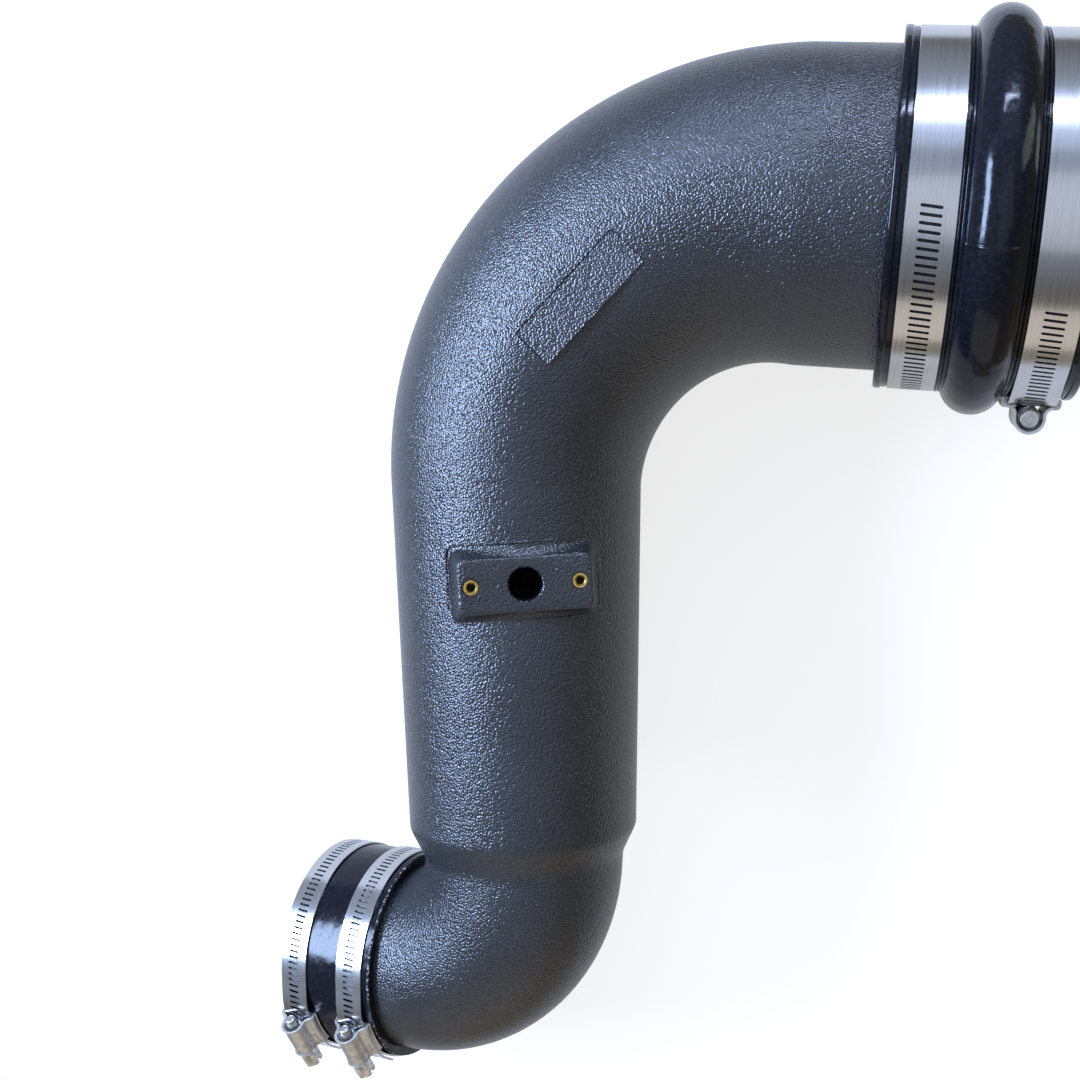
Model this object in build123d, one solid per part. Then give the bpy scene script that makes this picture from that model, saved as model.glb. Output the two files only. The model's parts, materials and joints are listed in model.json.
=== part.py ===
from build123d import *
import os
from dataclasses import dataclass
from math import atan, cos, degrees, radians, sin, sqrt, tan

# Cold air intake pipe: a moulded duct with a hose and two worm-drive clamps at each end.
# Millimetres and degrees. The pipe's own frame has the leg along -Y, the upper bend turning
# towards +X, and +Z out of the bend's plane on the side of the sensor pad.

# Duct
duct_wall = 3.2
large_end_od = 88.9
large_end_straight = 23.3
large_spigot = 17.5
upper_bend_radius = 78.0
upper_bend_angle = 95.5
leg_top_od = 74.4
leg_bottom_od = 68.6
leg_length = 102.4
neck_od = 60.2
neck_drop = 8.6
neck_straight = 0.9
shoulder_round = 6.0
neck_root_round = 5.0
lower_bend_radius = 36.5
lower_bend_angle = 91.0
lower_bend_swing = 13.5
small_end_od = 57.15
small_spigot = 13.0
bend_sections = 6

# Largest share of a neighbouring wall or length that a round may take
round_share = 0.9

# Sensor pad on the leg, with a sensor bore between two threaded inserts
pad_width = 37.6
pad_height = 15.8
pad_corner = 2.2
pad_rise = 2.0
pad_drop = 26.2
pad_swing = 16.7
pad_turn = 2.5
pad_root_depth = 9.0
pad_side_draft = 12.0
pad_end_draft = 20.0
pad_edge_round = 0.7
sensor_bore_diameter = 9.5
sensor_bore_chamfer = 0.4
insert_spacing = 30.2
insert_diameter = 4.2
insert_length = 6.0
insert_thread_diameter = 2.5
insert_recess_diameter = 5.4
insert_recess_depth = 0.5
insert_fit_clearance = 0.03
insert_mouth_chamfer = 0.3

# Bare plate on the flank of the upper bend
plate_length = 38.0
plate_width = 12.6
plate_corner = 1.0
plate_rise = 0.05
plate_root_depth = 2.4
plate_pocket_height = 2.0
plate_bend_angle = 45.5
plate_section_angle = -9.5
plate_face_angle = -1.5

# Where the moulded tube is cut into nodes, each a short length that holds an open bore
bend_cut_angle_high = 60.0
bend_cut_angle_low = 25.0
pad_cut_half = 15.0
neck_cut_rise = 10.0
elbow_cut_angle_high = 20.0
elbow_cut_angle_low = 70.0

# Upper hose: one hump between two cuffs, each cuff with a clamp channel between two lips
hose_fit_clearance = 0.05
upper_hose_length = 53.4
upper_hose_wall = 4.0
upper_lip_height = 0.8
upper_rim_lip = 3.7
upper_hump_lip = 1.6
upper_hump_height = 5.8
channel_clearance = 0.3
hose_edge_chamfer = 0.35
match_tolerance = 0.01

# Lower hose: a plain sleeve
lower_hose_length = 31.4
lower_hose_wall = 2.8
lower_hose_stretch = 0.3
lower_spigot_gap = 0.3
lower_near_margin = 2.3
lower_far_margin = 0.3

# Worm-drive clamps
seat_clearance = 0.03
running_clearance = 0.08
collar_gap = 0.15
lap_margin_angle = 1.0
lap_rise_angle = 20.0
slot_cut_margin = 0.4
slot_slant = -5.5
upper_band_width = 12.7
upper_band_thickness = 0.65
upper_slot_pitch = 2.18
upper_slot_length = 5.6
upper_slot_width = 0.85
upper_tail_wrap = 14.0
upper_tail_tip = 5.0
upper_tail_corner = 4.8
upper_housing_length = 14.0
upper_housing_wall = 0.8
upper_saddle_wall = 0.7
upper_screw_radius = 3.1
upper_screw_tip_radius = 2.5
upper_screw_tip_length = 1.0
upper_screw_tip_round = 0.3
upper_collar_radius = 3.5
upper_collar_length = 1.2
upper_hex_flats = 6.35
upper_hex_length = 5.5
lower_band_width = 9.0
lower_band_thickness = 0.6
lower_slot_pitch = 1.8
lower_slot_length = 3.5
lower_slot_width = 0.7
lower_tail_wrap = 20.0
lower_tail_tip = 3.5
lower_tail_corner = 3.4
lower_housing_length = 12.0
lower_housing_wall = 0.7
lower_saddle_wall = 0.6
lower_screw_radius = 2.5
lower_screw_tip_radius = 1.6
lower_screw_tip_length = 2.4
lower_screw_tip_round = 1.3
lower_collar_radius = 2.95
lower_collar_length = 1.1
lower_hex_flats = 5.5
lower_hex_length = 5.6
driver_slot_width = 1.1
driver_slot_depth = 1.6

# Turn of each clamp about its hose, from the pad's side (+Z) towards the leg's far end (-Y)
upper_inner_housing_turn = 135.0
upper_outer_housing_turn = 96.0
lower_inner_housing_turn = 34.0
lower_outer_housing_turn = 35.0
upper_inner_slot_run = 123.5
upper_outer_slot_run = 54.5
lower_slot_run = 150.0

# How the pipe lies on a floor: the floor's normal against the bend's plane
rest_lean_x = -4.92
rest_lean_y = -7.89


@dataclass
class ClampSize:
    """One size of worm-drive clamp."""

    band_width: float
    band_thickness: float
    slot_pitch: float
    slot_length: float
    slot_width: float
    tail_wrap: float
    tail_tip: float
    tail_corner: float
    housing_length: float
    housing_wall: float
    saddle_wall: float
    screw_radius: float
    screw_tip_radius: float
    screw_tip_length: float
    screw_tip_round: float
    collar_radius: float
    collar_length: float
    hex_flats: float
    hex_length: float


upper_clamp = ClampSize(
    upper_band_width, upper_band_thickness, upper_slot_pitch, upper_slot_length, upper_slot_width,
    upper_tail_wrap, upper_tail_tip, upper_tail_corner, upper_housing_length, upper_housing_wall,
    upper_saddle_wall, upper_screw_radius, upper_screw_tip_radius, upper_screw_tip_length,
    upper_screw_tip_round, upper_collar_radius, upper_collar_length, upper_hex_flats, upper_hex_length)
lower_clamp = ClampSize(
    lower_band_width, lower_band_thickness, lower_slot_pitch, lower_slot_length, lower_slot_width,
    lower_tail_wrap, lower_tail_tip, lower_tail_corner, lower_housing_length, lower_housing_wall,
    lower_saddle_wall, lower_screw_radius, lower_screw_tip_radius, lower_screw_tip_length,
    lower_screw_tip_round, lower_collar_radius, lower_collar_length, lower_hex_flats, lower_hex_length)

# Places along the centreline, worked out from the sizes above
large_end_radius = large_end_od / 2
leg_top_radius = leg_top_od / 2
leg_bottom_radius = leg_bottom_od / 2
neck_radius = neck_od / 2
small_end_radius = small_end_od / 2
bend_centre = Vector(upper_bend_radius, 0, 0)
leg_down = Vector(0, -1, 0)
swing = radians(lower_bend_swing)
lower_side = Vector(-cos(swing), 0, -sin(swing))
elbow_start = leg_down * (leg_length + neck_drop + neck_straight)


def upper_station(angle):
    """Plane across the upper bend, its normal pointing towards the large end."""
    turn = radians(angle)
    origin = bend_centre + Vector(-cos(turn), sin(turn), 0) * upper_bend_radius
    return Plane(origin, x_dir=(0, 0, 1), z_dir=(sin(turn), cos(turn), 0))


def upper_radius(angle):
    """Outer radius of the duct along the upper bend: an even taper."""
    share = angle / upper_bend_angle
    return leg_top_radius + (large_end_radius - leg_top_radius) * share


def lower_station(angle):
    """Plane across the lower bend, its normal pointing towards the small end."""
    turn = radians(angle)
    centre = elbow_start + lower_side * lower_bend_radius
    outwards = leg_down * sin(turn) - lower_side * cos(turn)
    origin = centre + outwards * lower_bend_radius
    across = leg_down.cross(lower_side)
    return Plane(origin, x_dir=across, z_dir=leg_down * cos(turn) + lower_side * sin(turn))


def lower_radius(angle):
    """Outer radius of the duct along the lower bend: an even taper."""
    share = angle / lower_bend_angle
    return neck_radius + (small_end_radius - neck_radius) * share


upper_end = upper_station(upper_bend_angle)
lower_end = lower_station(lower_bend_angle)


def bend_body(station, radius, angle, inset):
    """Loft of circles along one bend, drawn in by inset."""
    turns = [angle * step / bend_sections for step in range(bend_sections + 1)]
    return loft([station(turn) * Circle(radius(turn) - inset) for turn in turns])


def leg_body(inset):
    """Turned body of the tapering leg with its step-down neck."""
    top = (leg_top_radius - inset, 0)
    shoulder = (leg_bottom_radius - inset, -leg_length)
    root = (neck_radius - inset, -leg_length - neck_drop)
    foot = (neck_radius - inset, -leg_length - neck_drop - neck_straight)
    profile = make_face(Polyline((0, 0), top, shoulder, root, foot, (0, foot[1]), close=True))
    shoulder_corner = profile.vertices().sort_by_distance((*shoulder, 0))[0]
    profile = fillet(shoulder_corner, shoulder_round)
    root_corner = profile.vertices().sort_by_distance((*root, 0))[0]
    slope = atan((leg_bottom_radius - neck_radius) / neck_drop)
    room = neck_straight * round_share / tan(slope / 2)
    profile = fillet(root_corner, min(neck_root_round, room))
    return revolve(profile, Axis.Y)


def duct_body(inset):
    """The whole duct as one solid, drawn in by inset from its outer skin."""
    large_run = large_end_straight + large_spigot
    large_tube = upper_end * extrude(Circle(large_end_radius - inset), large_run)
    small_tube = lower_end * extrude(Circle(small_end_radius - inset), small_spigot)
    upper_bend = bend_body(upper_station, upper_radius, upper_bend_angle, inset)
    lower_bend = bend_body(lower_station, lower_radius, lower_bend_angle, inset)
    return large_tube + upper_bend + leg_body(inset) + lower_bend + small_tube


def leg_radius(drop):
    """Outer radius of the leg, a given way below the bend."""
    return leg_top_radius + (leg_bottom_radius - leg_top_radius) * drop / leg_length


def pad_plane():
    """Plane of the pad's face, its X along the pad and its Z outwards."""
    turn = radians(pad_swing)
    outwards = Vector(sin(turn), 0, cos(turn))
    along = Vector(cos(turn), 0, -sin(turn))
    origin = leg_down * pad_drop + outwards * (leg_radius(pad_drop) + pad_rise)
    return Plane(origin, x_dir=along, z_dir=outwards).rotated((0, 0, pad_turn))


def sensor_pad():
    """Drafted block under the pad's face, with a rounded rim."""
    side_flare = 2 * pad_root_depth * tan(radians(pad_side_draft))
    end_flare = 2 * pad_root_depth * tan(radians(pad_end_draft))
    face = RectangleRounded(pad_width, pad_height, pad_corner)
    root = RectangleRounded(pad_width + side_flare, pad_height + end_flare, pad_corner)
    block = loft([Pos(0, 0, -pad_root_depth) * root, face])
    rim = block.faces().sort_by(Axis.Z)[-1].edges()
    return pad_plane() * fillet(rim, pad_edge_round)


def plate_plane():
    """Plane of the bare plate's face, tilted on the bend: one long edge is sunk, the other proud."""
    station = upper_station(plate_bend_angle)
    away = (station.origin - bend_centre).normalized()

    def leaning(angle):
        return Vector(0, 0, 1) * cos(radians(angle)) + away * sin(radians(angle))

    arc = radians(upper_bend_angle) * upper_bend_radius
    slope = atan((large_end_radius - leg_top_radius) / arc)
    facing = leaning(plate_face_angle)
    face_normal = facing * cos(slope) - station.z_dir * sin(slope)
    face_along = station.z_dir * cos(slope) + facing * sin(slope)
    reach = upper_radius(plate_bend_angle) + plate_rise
    return Plane(station.origin + leaning(plate_section_angle) * reach, x_dir=face_along, z_dir=face_normal)


def bare_plate(height):
    """Block on the plate's face, below it (a negative height) or above it."""
    outline = RectangleRounded(plate_length, plate_width, plate_corner)
    return plate_plane() * extrude(outline, height)


def insert_places():
    """Planes at the mouths of the two inserts, on the floors of their recesses."""
    floor = pad_plane().offset(-insert_recess_depth)
    return [floor * Pos(side * insert_spacing / 2, 0, 0) for side in (-1, 1)]


def intake_tube():
    """Hollow duct with its pad and plate, drilled for the sensor and the inserts."""
    skin = duct_body(0) + sensor_pad() + bare_plate(-plate_root_depth) - bare_plate(plate_pocket_height)
    tube = skin - duct_body(duct_wall)
    through = 2 * (pad_rise + duct_wall)
    bore = Cylinder(sensor_bore_diameter / 2, 2 * through)
    mouth = Pos(0, 0, -sensor_bore_chamfer / 2) * Cone(
        sensor_bore_diameter / 2, sensor_bore_diameter / 2 + sensor_bore_chamfer, sensor_bore_chamfer)
    tube -= pad_plane() * (bore + mouth)
    for place in insert_places():
        hole_radius = insert_diameter / 2 + insert_fit_clearance
        hole = Pos(0, 0, -insert_length / 2) * Cylinder(hole_radius, insert_length)
        recess_radius = insert_recess_diameter / 2
        recess = Pos(0, 0, insert_recess_depth / 2) * Cylinder(recess_radius, insert_recess_depth)
        tube -= place * (hole + recess)
    return tube


def tube_lengths(tube):
    """The tube as nodes: cut across from both ends, and round the pad into four parts."""
    pad_top = Plane(leg_down * (pad_drop - pad_cut_half), z_dir=-leg_down)
    pad_foot = Plane(leg_down * (pad_drop + pad_cut_half), z_dir=-leg_down)
    neck_top = Plane(leg_down * (leg_length - neck_cut_rise), z_dir=-leg_down)
    cuts = [("mouth", upper_end.offset(large_end_straight)),
            ("bend_top", upper_station(bend_cut_angle_high)),
            ("bend_middle", upper_station(bend_cut_angle_low)),
            ("bend_foot", pad_top),
            ("spigot", lower_station(elbow_cut_angle_low)),
            ("elbow", lower_station(elbow_cut_angle_high)),
            ("pad_ring", pad_foot),
            ("leg", neck_top)]
    lengths = {}
    for name, plane in cuts:
        lengths[name] = split(tube, plane, keep=Keep.TOP)
        tube = split(tube, plane, keep=Keep.BOTTOM)
    lengths["neck"] = tube
    ring = lengths.pop("pad_ring")
    pad = pad_plane()
    halves = Plane(leg_down * pad_drop, z_dir=pad.z_dir)
    lengths["pad_back"] = split(ring, halves, keep=Keep.BOTTOM)
    front = split(ring, halves, keep=Keep.TOP)
    for name, side in (("pad_left", -1), ("pad_right", 1)):
        beside_bore = Plane(pad.origin + pad.x_dir * (side * insert_spacing / 4), z_dir=pad.x_dir * side)
        lengths[name] = split(front, beside_bore, keep=Keep.TOP)
        front = split(front, beside_bore, keep=Keep.BOTTOM)
    lengths["pad_middle"] = front
    return {f"intake_tube_{name}": length for name, length in lengths.items()}


def sensor_insert(place):
    """Threaded insert: a sleeve whose top lies level with the recess floor."""
    sleeve = Pos(0, 0, -insert_length / 2) * Cylinder(insert_diameter / 2, insert_length)
    sleeve -= Pos(0, 0, -insert_length / 2) * Cylinder(insert_thread_diameter / 2, insert_length)
    mouth = sleeve.faces().sort_by(Axis.Z)[-1].edges().sort_by(SortBy.LENGTH)[0]
    return place * chamfer(mouth, insert_mouth_chamfer)


upper_cuff_radius = large_end_radius + hose_fit_clearance + upper_hose_wall
upper_lip_radius = upper_cuff_radius + upper_lip_height
upper_channel = upper_band_width + 2 * channel_clearance
upper_band_offset = upper_rim_lip + upper_channel / 2
lower_hose_radius = small_end_radius + hose_fit_clearance + lower_hose_wall


def upper_hump_hose():
    """Turned hump hose; its axis is local Z, from the duct's rim to the free rim."""
    bore = large_end_radius + hose_fit_clearance
    half = upper_hose_length / 2
    hump_foot = half - upper_rim_lip - upper_channel - upper_hump_lip
    crest = upper_lip_radius + upper_hump_height
    lip_in = half - upper_rim_lip
    channel_in = lip_in - upper_channel
    outer = [(upper_lip_radius, half), (upper_lip_radius, lip_in), (upper_cuff_radius, lip_in),
             (upper_cuff_radius, channel_in), (upper_lip_radius, channel_in), (upper_lip_radius, hump_foot)]
    mirrored = [(radius, -along) for radius, along in reversed(outer)]
    inner_foot = hump_foot + upper_hump_lip
    inner_crest = crest - upper_hose_wall
    hump = ThreePointArc(outer[-1], (crest, 0), mirrored[0])
    hollow = ThreePointArc((bore, -inner_foot), (inner_crest, 0), (bore, inner_foot))
    edges = [Polyline(*outer), hump, Polyline(*mirrored), Line(mirrored[-1], (bore, -half)),
             Line((bore, -half), (bore, -inner_foot)), hollow, Line((bore, inner_foot), (bore, half)),
             Line((bore, half), outer[0])]
    profile = make_face(edges)
    lips = [corner for corner in profile.vertices() if abs(corner.X - upper_lip_radius) < match_tolerance]
    profile = chamfer(lips, hose_edge_chamfer)
    return revolve(Plane.XZ * profile, Axis.Z)


def lower_hose():
    """Plain sleeve, stretched over the duct; its axis is local Z, from the duct's rim to the free rim."""
    seat_bore = small_end_radius + hose_fit_clearance
    seat_depth = small_spigot + lower_spigot_gap
    sleeve = Pos(0, 0, lower_hose_length / 2) * Cylinder(lower_hose_radius, lower_hose_length)
    rims = sleeve.edges().filter_by(GeomType.CIRCLE)
    sleeve = chamfer(rims, hose_edge_chamfer)
    sleeve -= Pos(0, 0, lower_hose_length / 2) * Cylinder(seat_bore - lower_hose_stretch, lower_hose_length)
    return sleeve - Pos(0, 0, seat_depth / 2) * Cylinder(seat_bore, seat_depth)


def ring_point(radius, angle):
    """Point of a clamp's ring, by angle from the housing (+Y) towards the screw's head (+X)."""
    turn = radians(angle)
    return Vector(radius * sin(turn), radius * cos(turn), 0)


def ring_tangent(angle):
    """Direction of travel along the band at an angle."""
    turn = radians(angle)
    return Vector(cos(turn), -sin(turn), 0)


class Clamp:
    """Worm-drive clamp in its own frame: ring axis Z, housing at +Y, screw's head towards +X."""

    def __init__(self, size, seat_radius, floor_radius, slot_run):
        self.size = size
        self.slot_run = slot_run
        self.seat = seat_radius + seat_clearance
        self.saddle_floor = floor_radius + seat_clearance
        self.inner_lap = self.saddle_floor + size.saddle_wall + seat_clearance
        self.outer_lap = self.inner_lap + size.band_thickness + 2 * seat_clearance
        self.lap_top = self.outer_lap + size.band_thickness
        self.tray_half = size.band_width / 2 + 2 * seat_clearance + size.saddle_wall
        self.half_angle = degrees(size.housing_length / 2 / self.lap_top)
        self.lap_angle = self.half_angle + lap_margin_angle
        self.screw_height = self.lap_top + running_clearance + size.screw_radius
        self.barrel_bore = size.screw_radius + running_clearance
        self.barrel_radius = self.barrel_bore + size.housing_wall

    def band_edge(self, extra):
        """One long edge of the band's side view: seat, lap and tail, raised by extra."""
        lap = self.lap_angle
        rise = lap + lap_rise_angle
        tail_start = 360 + lap + self.size.tail_wrap
        inner, seat, outer = self.inner_lap + extra, self.seat + extra, self.outer_lap + extra

        def arc(radius, start, end):
            middle = ring_point(radius, (start + end) / 2)
            return ThreePointArc(ring_point(radius, start), middle, ring_point(radius, end))

        def slope(low, high, start, end):
            ends = (ring_tangent(start), ring_tangent(end))
            return Spline(ring_point(low, start), ring_point(high, end), tangents=ends)

        tail = Line(ring_point(outer, tail_start),
                    ring_point(outer, tail_start) + ring_tangent(tail_start) * self.size.tail_tip)
        return [arc(inner, -lap, lap), slope(inner, seat, lap, rise), arc(seat, rise, 360 - rise),
                slope(seat, outer, 360 - rise, 360 - lap), arc(outer, 360 - lap, tail_start), tail]

    def slots(self):
        """Cutters for the worm's slots, ahead of the housing and on the free tail."""
        size = self.size
        depth = self.lap_top - self.seat + 2 * slot_cut_margin
        cutter = Rot(0, slot_slant, 0) * Box(size.slot_width, depth, size.slot_length)
        step = degrees(size.slot_pitch / self.outer_lap)
        reach = (self.seat + self.lap_top) / 2
        ahead = range(1, int(self.slot_run / step))
        cuts = [Rot(0, 0, self.half_angle + step * count) * Pos(0, reach, 0) * cutter for count in ahead]
        tail_cutter = Pos(0, self.outer_lap - seat_clearance + depth / 2, 0) * cutter
        behind = range(1, int(size.tail_wrap / step))
        cuts += [Rot(0, 0, -self.lap_angle - step * count) * tail_cutter for count in behind]
        return cuts

    def band(self):
        """Slotted strip, wound once round and lapped under the housing, with a pointed tail."""
        size = self.size
        low, high = self.band_edge(0), self.band_edge(size.band_thickness)
        ends = [Line(low[0] @ 0, high[0] @ 0), Line(low[-1] @ 1, high[-1] @ 1)]
        side = make_face(low + high + ends)
        strip = extrude(side, size.band_width / 2, both=True)
        tip = strip.faces().sort_by_distance(low[-1] @ 1)[0]
        corners = tip.edges().sort_by(SortBy.LENGTH)[:2]
        strip = chamfer(corners, size.tail_corner)
        return strip - self.slots()

    def saddle(self):
        """Curved tray under the lap, with side walls that hold the band."""
        size = self.size
        floor_half = self.tray_half
        wall_height = self.lap_top - self.saddle_floor
        section = Pos(self.saddle_floor + wall_height / 2, 0) * Rectangle(wall_height, 2 * floor_half)
        hollow_half = floor_half - size.saddle_wall
        hollow_height = wall_height - size.saddle_wall
        section -= Pos(self.lap_top - hollow_height / 2, 0) * Rectangle(hollow_height, 2 * hollow_half)
        turned = revolve(Plane.YZ * section, Axis.Z, 2 * self.half_angle)
        return Rot(0, 0, -self.half_angle) * turned

    def housing(self):
        """Stamped barrel over the screw, on a curved flange whose skirts clasp the saddle."""
        size = self.size
        flange_low = self.lap_top + seat_clearance
        flange_high = flange_low + size.housing_wall
        inner_half = self.tray_half + seat_clearance
        outer_half = inner_half + size.housing_wall
        skirt_low = self.saddle_floor + 2 * seat_clearance
        cap = Pos((skirt_low + flange_high) / 2, 0) * Rectangle(flange_high - skirt_low, 2 * outer_half)
        rims = [corner for corner in cap.vertices() if corner.X > flange_low]
        cap = fillet(rims, size.housing_wall * round_share)
        cap -= Pos((skirt_low + flange_low) / 2, 0) * Rectangle(flange_low - skirt_low, 2 * inner_half)
        flange = Rot(0, 0, -self.half_angle) * revolve(Plane.YZ * cap, Axis.Z, 2 * self.half_angle)
        flare = self.screw_height - flange_high
        foot = self.barrel_radius + flare
        base = (flange_low + flange_high) / 2
        arch = [ThreePointArc((self.screw_height, -self.barrel_radius),
                              (self.screw_height + self.barrel_radius, 0),
                              (self.screw_height, self.barrel_radius)),
                RadiusArc((self.screw_height, self.barrel_radius), (flange_high, foot), flare),
                Polyline((flange_high, foot), (base, foot), (base, -foot), (flange_high, -foot)),
                RadiusArc((flange_high, -foot), (self.screw_height, -self.barrel_radius), flare)]
        barrel = extrude(Plane.YZ * make_face(arch), size.housing_length / 2, both=True)
        through = size.housing_length + 2 * size.housing_wall
        bore = Pos(0, self.screw_height, 0) * Rot(0, 90, 0) * Cylinder(self.barrel_bore, through)
        throat_height = self.screw_height - self.saddle_floor
        throat = Pos(0, self.screw_height - throat_height / 2, 0) * Box(
            through, throat_height, 2 * self.barrel_bore)
        return flange + barrel - bore - throat

    def screw(self):
        """Worm screw: rounded tip, core in the barrel, collar and slotted hexagon head."""
        size = self.size
        half = size.housing_length / 2
        collar_start = half + collar_gap
        head_start = collar_start + size.collar_length
        tip = -half - size.screw_tip_length
        shoulder = -half + size.screw_tip_length / 2
        outline = Polyline((tip, 0), (tip, size.screw_tip_radius), (shoulder, size.screw_radius),
                           (collar_start, size.screw_radius), (collar_start, size.collar_radius),
                           (head_start, size.collar_radius), (head_start, 0), close=True)
        profile = make_face(outline)
        nose = profile.vertices().sort_by_distance((tip, size.screw_tip_radius, 0))[0]
        profile = fillet(nose, size.screw_tip_round)
        body = revolve(profile, Axis.X)
        corner_radius = size.hex_flats / sqrt(3)
        hexagon = extrude(RegularPolygon(corner_radius, 6), size.hex_length)
        crown = Pos(0, 0, size.hex_length / 2) * Cylinder(corner_radius, size.hex_length)
        crown = chamfer(crown.edges().sort_by(Axis.Z)[-1], corner_radius - size.hex_flats / 2)
        head = hexagon & crown
        head -= Pos(0, 0, size.hex_length - driver_slot_depth / 2) * Box(
            2 * corner_radius, driver_slot_width, driver_slot_depth)
        screw = body + Pos(head_start, 0, 0) * Rot(0, 90, 0) * head
        return Pos(0, self.screw_height, 0) * screw

    def pieces(self, name, place):
        """The clamp's four pieces at their place on a hose."""
        built = {"band": self.band(), "saddle": self.saddle(),
                 "housing": self.housing(), "screw": self.screw()}
        return {f"{name}_{piece}": place * solid for piece, solid in built.items()}


def clamp_place(rim, offset, turn, outwards):
    """Place of a clamp along a hose; its housing is turned from +Z towards -Y about the hose."""
    axis = rim.z_dir
    centre = rim.origin + axis * offset
    front = (Vector(0, 0, 1) - axis * axis.Z).normalized()
    below = (leg_down - axis * leg_down.dot(axis))
    below = (below - front * below.dot(front)).normalized()
    housing = front * cos(radians(turn)) + below * sin(radians(turn))
    ring_axis = axis * outwards
    return Plane(centre, x_dir=housing.cross(ring_axis), z_dir=ring_axis).location


upper_rim = upper_end.offset(large_end_straight)
lower_rim = lower_end
upper_middle = upper_rim.offset(upper_hose_length / 2)
upper_offsets = (upper_band_offset, upper_hose_length - upper_band_offset)
lower_offsets = (lower_near_margin + lower_band_width / 2,
                 lower_hose_length - lower_far_margin - lower_band_width / 2)

nodes = tube_lengths(intake_tube())
nodes["upper_hump_hose"] = upper_middle * upper_hump_hose()
nodes["lower_hose"] = lower_rim * lower_hose()
for side, place in zip(("left", "right"), insert_places()):
    nodes[f"sensor_insert_{side}"] = sensor_insert(place)
upper_turns = (upper_inner_housing_turn, upper_outer_housing_turn)
upper_runs = (upper_inner_slot_run, upper_outer_slot_run)
lower_turns = (lower_inner_housing_turn, lower_outer_housing_turn)
for index, end in enumerate(("inner", "outer")):
    clamp = Clamp(upper_clamp, upper_cuff_radius, upper_lip_radius, upper_runs[index])
    place = clamp_place(upper_rim, upper_offsets[index], upper_turns[index], -1)
    nodes.update(clamp.pieces(f"upper_{end}_clamp", place))
    clamp = Clamp(lower_clamp, lower_hose_radius, lower_hose_radius, lower_slot_run)
    place = clamp_place(lower_rim, lower_offsets[index], lower_turns[index], 1)
    nodes.update(clamp.pieces(f"lower_{end}_clamp", place))

# Lay the pipe on its rest plane, with the box's bottom centre at the origin
lie = Rot(0, rest_lean_y, 0) * Rot(rest_lean_x, 0, 0)
laid = {name: lie * solid for name, solid in nodes.items()}
boxes = [solid.bounding_box() for solid in laid.values()]
low_x = min(box.min.X for box in boxes)
high_x = max(box.max.X for box in boxes)
low_y = min(box.min.Y for box in boxes)
high_y = max(box.max.Y for box in boxes)
low_z = min(box.min.Z for box in boxes)
stand = Pos(-(low_x + high_x) / 2, -(low_y + high_y) / 2, -low_z)
os.makedirs("parts", exist_ok=True)
for name, solid in laid.items():
    export_step(stand * solid, f"parts/{name}.step")
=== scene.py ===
"""Looks of the cold air intake pipe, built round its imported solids."""
import json
from functools import partial
from math import asin, atan, cos, degrees, pi, radians, sin, sqrt, tan
from types import SimpleNamespace

import bmesh
import bpy
from mathutils import Matrix, Vector


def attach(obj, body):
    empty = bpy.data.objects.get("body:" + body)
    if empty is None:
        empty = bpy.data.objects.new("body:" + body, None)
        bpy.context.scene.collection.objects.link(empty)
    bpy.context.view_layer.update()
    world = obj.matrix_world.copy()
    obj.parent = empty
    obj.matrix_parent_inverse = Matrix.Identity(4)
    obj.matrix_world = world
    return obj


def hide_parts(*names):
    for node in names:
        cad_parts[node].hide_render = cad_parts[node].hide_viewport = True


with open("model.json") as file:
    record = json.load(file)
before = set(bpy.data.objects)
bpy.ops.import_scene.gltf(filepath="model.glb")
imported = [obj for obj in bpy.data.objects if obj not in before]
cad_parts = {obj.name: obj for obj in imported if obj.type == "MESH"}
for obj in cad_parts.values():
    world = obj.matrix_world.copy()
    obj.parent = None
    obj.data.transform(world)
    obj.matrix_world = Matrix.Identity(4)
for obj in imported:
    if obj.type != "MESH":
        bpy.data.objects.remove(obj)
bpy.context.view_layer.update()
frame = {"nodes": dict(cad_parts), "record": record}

# Sizes in millimetres and degrees, in the pipe's own frame: leg along -Y, upper bend towards +X,
# +Z out of the bend's plane on the side of the sensor pad. They repeat those of the solids, with a few
# finer ones for the looks alone.
MM = 0.001
duct_wall = 3.2
large_radius = 44.45
large_run = 40.8
upper_bend_radius = 78.0
upper_bend_angle = 95.5
leg_top_radius = 37.2
leg_foot_radius = 34.3
leg_length = 102.4
neck_radius = 30.1
neck_drop = 8.6
neck_straight = 0.9
lower_bend_radius = 36.5
lower_bend_angle = 91.0
lower_bend_swing = 13.5
small_radius = 28.575
small_spigot = 13.0
hose_on_large = 17.5
shoulder_round = 0.7
neck_root_round = 1.3
duct_rings = 290
duct_sides = 128
rest_roll = -7.89
rest_pitch = -4.92

pad_width = 37.6
pad_height = 15.8
pad_corner = 2.2
pad_rise = 2.0
pad_drop = 26.2
pad_swing = 16.7
pad_turn = 2.5
pad_side_foot = 1.5
pad_end_foot = 1.9
pad_rim_round = 0.9
pad_base = 1.5
# Loops down the pad's walls: share of the draft, share of the height above the skin, extra spread
pad_walls = ((0.3, 0.7, 0), (0.62, 0.38, 0), (0.85, 0.15, 0.1), (1, 0.04, 0.35), (1, -0.3, 1.0))
bore_radius = 4.75
bore_break = 0.4
drill_clear = 4
insert_spacing = 30.2
insert_radius = 2.1
insert_length = 6.0
thread_radius = 1.25
thread_pitch = 0.45
thread_depth = 0.22
thread_mouth = 0.35
thread_end = 0.5
recess_radius = 2.7
recess_depth = 0.5
parting_width = 42.4
parting_height = 21.9
parting_corner = 3.0
parting_middle = (-0.3, 0.65, 0.0)
parting_bead = 0.36
parting_sink = 0.1

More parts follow.
